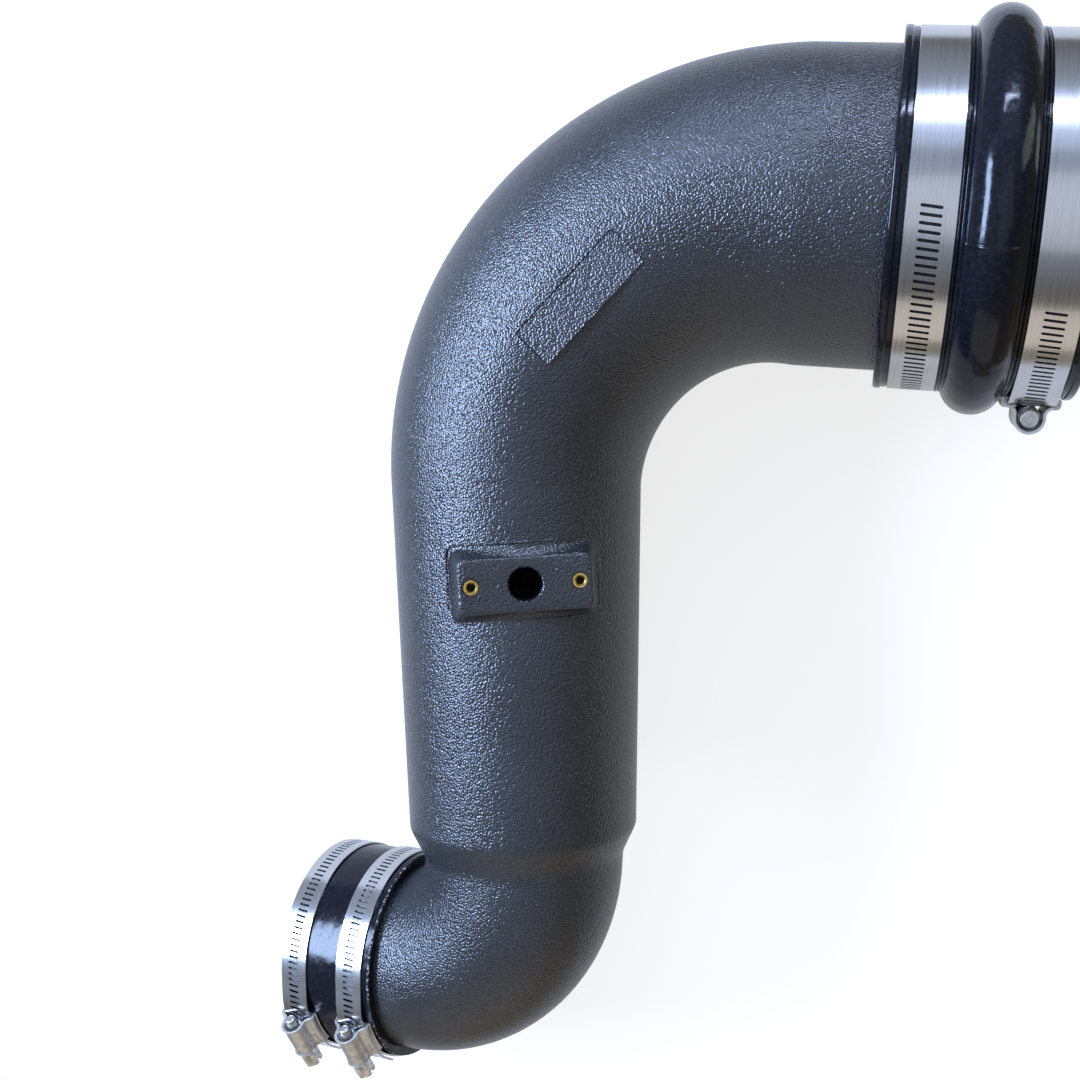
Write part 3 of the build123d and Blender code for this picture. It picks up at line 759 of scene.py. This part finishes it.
def clamp_sizes(size):
    """Radii of the clamp's layers, as in the solids."""
    size.seat = size.seat_on + fit
    size.floor = size.floor_on + fit
    size.inner_lap = size.floor + size.saddle + fit
    size.outer_lap = size.inner_lap + size.band + 2 * fit
    size.lap_top = size.outer_lap + size.band
    size.tray_half = size.band_width / 2 + 2 * fit + size.saddle
    size.half_angle = degrees(size.length / 2 / size.lap_top)
    size.lap_angle = size.half_angle + lap_margin
    size.height = size.lap_top + run_fit + size.screw
    size.barrel = size.screw + run_fit + size.wall


def clamp_place(rim, axis, offset, turn, outwards):
    """Frame of a clamp: ring axis Z, housing at +Y, screw's head towards +X."""
    front = front_of(axis)
    below = leg_down - axis * leg_down.dot(axis)
    below = (below - front * below.dot(front)).normalized()
    housing = front * cos(radians(turn)) + below * sin(radians(turn))
    ring_axis = axis * outwards
    return frame_of(housing.cross(ring_axis), housing, ring_axis, rim + axis * offset)


def strip_cell(size, slotted):
    """One pitch of the flat strip, X along it, Y its thickness, with or without a worm slot."""
    shape = bmesh.new()
    half, edge = size.band_width / 2, strip_edge
    slant = tan(radians(slot_slant))
    round_end = size.slot_width / 2
    straight = size.slot_length / 2 - round_end
    side = [Vector((round_end * sin(turn), straight + round_end * cos(turn))) for turn in quarter(3)]
    right = side + [Vector((p.x, -p.y)) for p in reversed(side)]
    right = [Vector((p.x + p.y * slant, p.y)) for p in right]
    left = [Vector((-p.x, -p.y)) for p in right]

    def layer(y):
        along = [-size.pitch / 2 + size.pitch * k / 4 for k in range(5)]
        holes = [[shape.verts.new((p.x, y, p.y)) for p in outline] for outline in (right, left) if slotted]
        rims = [[shape.verts.new((x, y, s * (half - edge))) for x in along] for s in (-1, 1)]
        return sum(holes, []), rims

    (top_hole, top_rims), (low_hole, low_rims) = layer(size.band), layer(0.0)
    for hole, (near, far) in ((top_hole, top_rims), (low_hole, low_rims)):
        if slotted:
            shape.faces.new(near[2:] + far[2:][::-1] + hole[:len(right)])
            shape.faces.new(far[:3][::-1] + near[:3] + hole[len(right):])
        else:
            for k in range(4):
                shape.faces.new((near[k], near[k + 1], far[k + 1], far[k]))
    for at in range(len(top_hole)):
        after = (at + 1) % len(top_hole)
        shape.faces.new((top_hole[at], top_hole[after], low_hole[after], low_hole[at]))
    for sign, top, low in zip((-1, 1), top_rims, low_rims):
        for k in range(4):
            ends = top[k].co.x, top[k + 1].co.x
            high = [shape.verts.new((x, size.band - edge, sign * half)) for x in ends]
            deep = [shape.verts.new((x, edge, sign * half)) for x in ends]
            shape.faces.new((top[k], top[k + 1], high[1], high[0]))
            shape.faces.new((high[0], high[1], deep[1], deep[0]))
            shape.faces.new((deep[0], deep[1], low[k + 1], low[k]))
    bmesh.ops.remove_doubles(shape, verts=shape.verts, dist=weld)
    return temporary(shape)


def band_tree():
    tree, add, given = new_tree(
        "clamp_band", Int="cells first_slot last_slot", Object="slotted plain",
        Float="pitch start lap rise tail inner_lap seat outer_lap half_width tip_corner length")
    first = add("CombineXYZ", add("Math.MULTIPLY", given.pitch, 0.5))
    step = add("CombineXYZ", given.pitch)
    line = add("MeshLine", {"Count": given.cells, "Start Location": first, "Offset": step})
    index = add("InputIndex")
    after_first = add("Math.GREATER_THAN", index, add("Math.SUBTRACT", given.first_slot, 0.5))
    before_last = add("Math.LESS_THAN", index, add("Math.ADD", given.last_slot, 0.5))
    inside = add("Math.MULTIPLY", after_first, before_last)
    strip = add("JoinGeometry", out=None)
    for chosen, cell in ((inside, given.slotted), (add("Math.SUBTRACT", 1.0, inside), given.plain)):
        row = add("InstanceOnPoints", line, chosen, add("ObjectInfo", cell, out="Geometry"))
        tree.links.new(row, strip.inputs[0])
    flat = add("RealizeInstances", strip.outputs[0])
    flat = add("MergeByDistance", {0: flat, "Distance": 0.002})
    apart = add("SeparateXYZ", add("InputPosition"), out=None).outputs
    chart = add("CombineXYZ", add("Math.MULTIPLY", apart["X"], MM), add("Math.MULTIPLY", apart["Z"], MM))
    flat = add("StoreNamedAttribute", {0: flat, "Name": "UVMap", "Value": chart},
               data_type="FLOAT2", domain="CORNER")

    lap, outer_lap, seat = given.lap, given.outer_lap, given.seat
    whole = add("Math.ADD", given.start, add("Math.DIVIDE", apart["X"], outer_lap))
    turn = add("Math.MINIMUM", whole, given.tail)
    beyond = add("Math.MULTIPLY", add("Math.SUBTRACT", whole, turn), outer_lap)
    up_lap = add("Math.ADD", lap, given.rise)
    climb_start, climb_end = (add("Math.SUBTRACT", 2 * pi, angle) for angle in (up_lap, lap))
    falling = add("MapRange", turn, lap, up_lap, given.inner_lap, seat, interpolation_type="SMOOTHSTEP")
    climb = add("MapRange", turn, climb_start, climb_end, 0.0, add("Math.SUBTRACT", outer_lap, seat),
                interpolation_type="SMOOTHSTEP")
    reach = add("Math.ADD", add("Math.ADD", falling, climb), apart["Y"])
    sine, cosine = add("Math.SINE", turn), add("Math.COSINE", turn)
    x = add("Math.MULTIPLY_ADD", reach, sine, add("Math.MULTIPLY", beyond, cosine))
    y = add("Math.SUBTRACT", add("Math.MULTIPLY", reach, cosine), add("Math.MULTIPLY", beyond, sine))
    room = add("Math.SUBTRACT", given.half_width, given.tip_corner)
    room = add("Math.ADD", room, add("Math.SUBTRACT", given.length, apart["X"]))
    z = add("Math.MAXIMUM", add("Math.MINIMUM", apart["Z"], room), add("Math.MULTIPLY", room, -1.0))
    ring = add("SetPosition", {0: flat, "Position": add("CombineXYZ", x, y, z)})
    end_tree(add, ring, strip_steel)
    return tree


def make_band(size, tree, name, slot_run, place):
    start = radians(-size.lap_angle)
    tail_start = radians(360 + size.lap_angle + size.tail_wrap)
    length = (tail_start - start) * size.outer_lap + size.tail_tip
    cells = int(length / size.pitch)
    pitch = length / cells
    slotted, plain = strip_cell(size, True), strip_cell(size, False)
    last_slot = int((length - size.tail_tip) / pitch) - 2
    first_angle = radians(360 - size.half_angle - slot_run)
    first_slot = int((first_angle - start) * size.outer_lap / pitch) + 1
    shape = grow(
        tree, pitch=pitch, start=start, lap=radians(size.lap_angle), rise=radians(lap_rise), tail=tail_start,
        inner_lap=size.inner_lap, seat=size.seat, outer_lap=size.outer_lap, half_width=size.band_width / 2,
        tip_corner=size.tail_corner, length=length, cells=cells, first_slot=first_slot, last_slot=last_slot,
        slotted=slotted, plain=plain)
    for cell in (slotted, plain):
        bpy.data.objects.remove(cell)
    loose = [edge for edge in shape.edges if edge.is_boundary]
    bmesh.ops.holes_fill(shape, edges=loose, sides=0)
    place_piece(name + "_strip", shape, place, [strip_steel], "duct", [name], 30)


def housing_section(size, x):
    """Middle line of the stamped sheet across the clamp, from hem to hem, at a place along the screw."""
    lip_rise, lip_run = 0.4, 0.9
    crease_depth, crease_half = 0.22, 0.7
    hem_gap, hem_out, hem_up = 0.15, 0.25, 0.35
    flare_share, flare_most = 0.8, 2.2
    end = size.length / 2
    lip = lip_rise * max(0.0, 1 - (end - abs(x)) / lip_run) ** 2
    crease = crease_depth * max(0.0, 1 - abs(x - end / 3) / crease_half)
    barrel = size.barrel - size.wall / 2 + lip - crease
    base = sqrt((size.lap_top + fit + size.wall / 2) ** 2 - x ** 2)
    hem = sqrt((size.floor + 2 * fit) ** 2 - x ** 2) + hem_gap
    flare = min(flare_share * (size.height - base), flare_most)
    half = size.tray_half + fit + size.wall / 2
    corner = size.wall
    points = [Vector((half + hem_out, hem)), Vector((half, hem + hem_up))]
    for turn in quarter(4):
        points.append(Vector((half - corner + corner * cos(turn), base - corner + corner * sin(turn))))
    for turn in quarter(6)[1:]:
        points.append(Vector((barrel + flare - flare * sin(turn), base + flare - flare * cos(turn))))
    for turn in quarter(12):
        points.append(Vector((barrel * cos(turn), size.height + barrel * sin(turn))))
    return points + [Vector((-p.x, p.y)) for p in reversed(points[:-1])]


def make_housing(size, name, place):
    shape = bmesh.new()
    end = size.length / 2
    loops = []
    for step in range(41):
        x = -end + size.length * step / 40
        line = housing_section(size, x)
        outer, inner = [], []
        for at, point in enumerate(line):
            way = (line[min(at + 1, len(line) - 1)] - line[max(at - 1, 0)]).normalized()
            away = Vector((way.y, -way.x)) * (size.wall / 2)
            outer.append(Vector((x, point.y + away.y, point.x + away.x)))
            inner.append(Vector((x, point.y - away.y, point.x - away.x)))
        loops.append(outer + inner[::-1])
    rows = skin_over(shape, loops)
    count = len(loops[0]) // 2
    for row, flip in ((rows[0], 1), (rows[-1], -1)):
        for at in range(count - 1):
            quad = (row[at], row[at + 1], row[-at - 2], row[-at - 1])
            shape.faces.new(quad[::flip])
    place_piece(name + "_stamping", shape, place, [sheet_steel], "duct", [name], 40)


def worm_tree():
    tree, add, given = new_tree("screw_worm", Float="radius turns length root crest depth")
    helix = add("CurveSpiral", {
        "Resolution": 28, "Rotations": given.turns, "Start Radius": given.radius,
        "End Radius": given.radius, "Height": given.length})
    helix = add("SetCurveNormal", helix, mode="Z_UP")
    ridge = add("CurvePrimitiveQuadrilateral", {
        "Bottom Width": given.root, "Top Width": given.crest, "Height": given.depth}, mode="TRAPEZOID")
    end_tree(add, add("CurveToMesh", helix, ridge, {"Fill Caps": True}), screw_steel)
    return tree


def make_screw(size, tree, name, body, place):
    core_share, root_share, crest_share = 0.76, 0.55, 0.3
    worm_end, worm_sink = 1.0, 0.05
    crown_run, crown_fall = 0.7, 1.6
    sides = 72
    end = size.length / 2
    core = size.screw * core_share
    collar_at = end + collar_gap
    head_at = collar_at + size.collar_length
    head_end = head_at + size.hex_length
    tip = -end - size.tip_length
    nose = [(0, tip, 0), (size.tip, tip, size.tip_round), (core, -end + size.tip_length / 2, 0.3),
            (core, collar_at, 0.0), (size.collar, collar_at, 0.25), (size.collar, head_at, 0.25)]
    corner = size.flats / sqrt(3)
    crown = corner - size.flats / 2
    stations = [(along, radius, False) for radius, along in eased(nose, steps=5)
                if along > tip or radius > 0]
    stations += [(head_at, corner, True), (head_end - crown * crown_run, corner, True)]
    stations += [(head_end - crown * crown_run * (1 - s / 4), corner - crown * crown_fall * s / 4, True)
                 for s in range(1, 5)]
    shape = bmesh.new()
    loops = []
    for along, radius, flat_sided in stations:
        ring = []
        for step in range(sides):
            turn = 2 * pi * step / sides
            flat = size.flats / 2 / cos((turn + pi / 6) % (pi / 3) - pi / 6)
            reach = min(flat, radius) if flat_sided else radius
            ring.append(Vector((reach * cos(turn), reach * sin(turn), along)))
        loops.append(ring)
    skin_over(shape, loops, cap_first=True, cap_last=True)
    bmesh.ops.recalc_face_normals(shape, faces=shape.faces)
    slot = [Vector((s * corner * 1.2, t * driver_slot_width / 2)) for s, t in square]
    shape = carve(shape, [("DIFFERENCE", prism(slot, head_end - driver_slot_depth, head_end + 1, Matrix()))])
    depth = size.screw - core
    worm_length = size.length - 2 * worm_end
    thread = grow(
        tree, radius=core + depth / 2 - worm_sink, turns=worm_length / size.pitch, length=worm_length,
        root=size.pitch * root_share, crest=size.pitch * crest_share, depth=depth)
    bmesh.ops.transform(thread, matrix=Matrix.Translation((0, 0, -end + worm_end)), verts=thread.verts)
    joined = bpy.data.meshes.new("worm")
    thread.to_mesh(joined)
    thread.free()
    shape.from_mesh(joined)
    bpy.data.meshes.remove(joined)
    along_x = frame_of(Vector((0, 0, -1)), Vector((0, 1, 0)), Vector((1, 0, 0)), Vector((0, size.height, 0)))
    place_piece(name + "_worm_screw", shape, place @ along_x, [screw_steel], body, [name], 32)


def make_insert(side, name):
    depth = insert_length + recess_depth
    corners = [(thread_radius, -depth, 0.0), (insert_radius, -depth, 0.0),
               (insert_radius, -recess_depth, 0.12), (thread_radius + thread_mouth, -recess_depth, 0.0)]
    for step in range(int((insert_length - thread_end) / thread_pitch)):
        at = -recess_depth - thread_mouth - step * thread_pitch
        corners += [(thread_radius, at, 0.0), (thread_radius + thread_depth, at - thread_pitch / 2, 0.0)]
    place = pad_frame @ Matrix.Translation((side * insert_spacing / 2, 0, 0))
    shape = turned(eased(corners), 40)
    place_piece(name + "_turned", shape, place, [brass], "duct", [name], 25)


make_duct()
make_parting_line()
make_upper_hose()
make_lower_hose()
make_insert(-1, "sensor_insert_left")
make_insert(1, "sensor_insert_right")

# Each clamp's sizes, its hose's end and axis, place along it, housing's angle, side of the head, run of slots
upper_band_at = upper_rim_lip + upper_channel / 2
lower_inner_at = lower_inner_gap + lower_clamp.band_width / 2
lower_outer_at = lower_hose_length - lower_outer_gap - lower_clamp.band_width / 2
clamps = (
    ("upper_inner", upper_clamp, upper_rim, arm, upper_band_at, 135.0, -1, 123.5),
    ("upper_outer", upper_clamp, upper_rim, arm, upper_hose_length - upper_band_at, 96.0, -1, 54.5),
    ("lower_inner", lower_clamp, lower_rim, tail, lower_inner_at, 34.0, 1, 150.0),
    ("lower_outer", lower_clamp, lower_rim, tail, lower_outer_at, 35.0, 1, 150.0))
bands, worms = band_tree(), worm_tree()
for name, size, rim, axis, offset, turn, outwards, slot_run in clamps:
    clamp_sizes(size)
    place = clamp_place(rim, axis, offset, turn, outwards)
    make_band(size, bands, name + "_clamp_band", slot_run, place)
    make_housing(size, name + "_clamp_housing", place)
    make_screw(size, worms, name + "_clamp_screw", name + "_screw", place)
    saddle = frame["nodes"][name + "_clamp_saddle"]
    saddle.data.materials.clear()
    saddle.data.materials.append(sheet_steel)

# Studio: a white floor that keeps the soft shadow, cool lamps on the left and far sides, a warm near side
floor_reach = 0.24
floor_drop = 0.0004
floor_mesh = bpy.data.meshes.new("floor")
floor_corners = [(x * floor_reach, y * floor_reach, 0) for x, y in square]
floor_mesh.from_pydata(floor_corners, [], [(0, 1, 2, 3)])
floor = put("floor", floor_mesh)
floor.location.z = -floor_drop


def white_floor_paper(add):
    """Matt white paper: seen by the camera and in reflections it gets a lift to white."""
    camera_lift, shine_lift = 0.76, 0.42
    path = add("LightPath", out=None).outputs
    shine = add("Math.MULTIPLY", path["Is Glossy Ray"], shine_lift)
    lift = add("Math.MULTIPLY_ADD", path["Is Camera Ray"], camera_lift, shine)
    return {"Base Color": colour("#9c9c9c"), "Roughness": 0.9, "Emission Color": colour("#ffffff"),
            "Emission Strength": lift}


floor_mesh.materials.append(finish_material(white_floor_paper))

# Surroundings: cool above and far left, warm near right, plain white behind the pipe
world = bpy.data.worlds.new("studio")
world.use_nodes = True
bpy.context.scene.world = world
add = partial(node, world.node_tree)
cool_side = (-0.45, 0.6, 0.65)
surround_strength = 0.85
seen = add("LightPath", out="Is Camera Ray")
lean = add("VectorMath.DOT_PRODUCT", add("TexCoord", out="Generated"), cool_side, out="Value")
level = add("MapRange", lean, -0.5, 0.75, 0.0, 1.0)
tint = add("ValToRGB", level, stops=[(0.0, "#9f9586"), (0.4, "#7a7775"), (1.0, "#b5c0d4")])
tint = add("Mix", {0: seen, 6: tint, 7: colour("#ffffff")}, data_type="RGBA", out=2)
strength = add("MapRange", {0: seen, 3: surround_strength, 4: 1.0})
plug(world.node_tree, world.node_tree.nodes["Background"], {"Color": tint, "Strength": strength})

# Camera at the photograph's angle, placed in the pipe's frame; its focal length is in picture widths
camera_at = Vector((103.2, 12.35, 422.34))
camera_right = Vector((0.9751, -0.0192, -0.221))
camera_up = Vector((0.004, 0.9976, -0.0691))
camera_back = Vector((0.2218, 0.0665, 0.9728))
focal_length = 1450 / 1080
lens = bpy.data.cameras.new("camera")
lens.sensor_width = 36.0
lens.lens = focal_length * lens.sensor_width
lens.clip_start = 0.01
camera = put("camera", lens)
seen_from = to_row @ frame_of(camera_right, camera_up, camera_back, camera_at)
camera.matrix_world = Matrix.Translation(seen_from.translation) @ seen_from.to_3x3().normalized().to_4x4()
bpy.context.scene.camera = camera


def soft_light(name, spot, aim, size, power, code):
    """Large soft area light at a spot, in metres, aimed at a point."""
    lamp = bpy.data.lights.new(name, "AREA")
    lamp.shape = "RECTANGLE"
    lamp.size, lamp.size_y = size
    lamp.energy = power
    lamp.color = colour(code)[:3]
    made = put(name, lamp)
    made.location = spot
    made.rotation_euler = (Vector(aim) - Vector(spot)).to_track_quat("-Z", "Y").to_euler()


soft_light("window_left", (-1.04, 0.32, 0.73), (0, 0, 0.05), (0.8, 0.36), 38, "#b9d2ff")
soft_light("lamp_far", (0.1, 1.15, 0.8), (0, 0.05, 0.05), (1.4, 0.9), 2, "#c4d4ff")
soft_light("strip_far", (0.1, 1.25, 0.72), (0, 0.05, 0.05), (0.9, 0.07), 13, "#c8d8ff")
soft_light("card_right", (0.85, 0.45, 0.42), (0.1, 0.1, 0.05), (0.2, 0.7), 1.2, "#e3f0ea")
soft_light("card_near", (-0.1, -0.95, 0.35), (0, 0, 0.05), (1.3, 0.6), 1.4, "#fff6ec")
soft_light("fill_top", (0.2, 0.1, 1.7), (0, 0, 0), (1.2, 1.2), 2, "#f0f3ff")
bpy.context.scene.view_settings.view_transform = "Standard"
